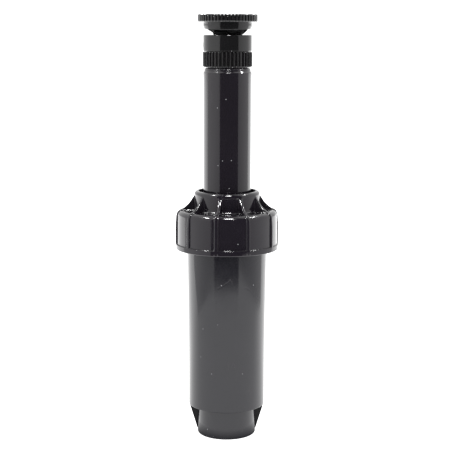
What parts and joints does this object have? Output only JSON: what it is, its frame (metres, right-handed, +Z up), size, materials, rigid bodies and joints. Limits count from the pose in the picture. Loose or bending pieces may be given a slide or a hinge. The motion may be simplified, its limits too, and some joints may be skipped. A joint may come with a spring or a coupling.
{
  "type": "pop-up spray sprinkler",
  "caption": "Black plastic pop-up spray sprinkler with a finned screw cap, a riser that rises from its casing and an adjustable spray nozzle.",
  "frame": {"origin": "centre of the inlet's bottom face", "axes": "+Z up along the riser, -Y is the front, where two of the cap's ribs stand 12 degrees left and 24 degrees right of it"},
  "size_m": [0.0592, 0.0592, 0.2419],
  "materials": {
    "black_plastic": "moulded, glossy",
    "inner_plastic": "moulded, satin",
    "rubber": "matt",
    "stainless": "drawn and turned"
  },
  "bodies": {
    "housing": {"body_casing": "black_plastic", "cap": "black_plastic", "cap_gasket": "rubber", "wiper_seal": "rubber", "seal_retainer": "inner_plastic", "retract_spring": "stainless"},
    "ratchet": {"ratchet_ring": "inner_plastic"},
    "riser": {"riser_stem": "black_plastic", "nozzle_base": "black_plastic", "nozzle_gasket": "rubber", "nozzle_sleeve": "black_plastic", "arc_seat": "inner_plastic", "filter_screen": "inner_plastic", "throttle_seat": "inner_plastic", "deflector_oring": "rubber"},
    "spray_head": {"deflector": "black_plastic", "deflector_clip": "stainless", "screw_oring": "rubber"},
    "screw": {"flow_screw": "stainless"},
    "throttle": {"throttle_nut": "inner_plastic"}
  },
  "joints": [
    {"name": "riser_slide", "type": "slide", "parent": "housing", "child": "ratchet", "axis": [0, 0, 1], "range_m": [-0.0935, 0], "deforming": ["retract_spring"]},
    {"name": "riser_turn", "type": "hinge", "parent": "ratchet", "child": "riser", "pos_m": [0, 0, 0.1162], "axis": [0, 0, 1], "continuous": true},
    {"name": "arc_turn", "type": "hinge", "parent": "riser", "child": "spray_head", "pos_m": [0, 0, 0.2224], "axis": [0, 0, 1], "range_deg": [-165, 165]},
    {"name": "screw_turn", "type": "hinge", "parent": "riser", "child": "screw", "pos_m": [0, 0, 0.2386], "axis": [0, 0, 1], "range_deg": [-1080, 0]},
    {"name": "nut_travel", "type": "slide", "parent": "riser", "child": "throttle", "axis": [0, 0, 1], "range_m": [-0.0018, 0]}
  ],
  "couplings": [
    {"joint": "screw_turn", "follows": "nut_travel", "rad_per_m": 10472}
  ]
}
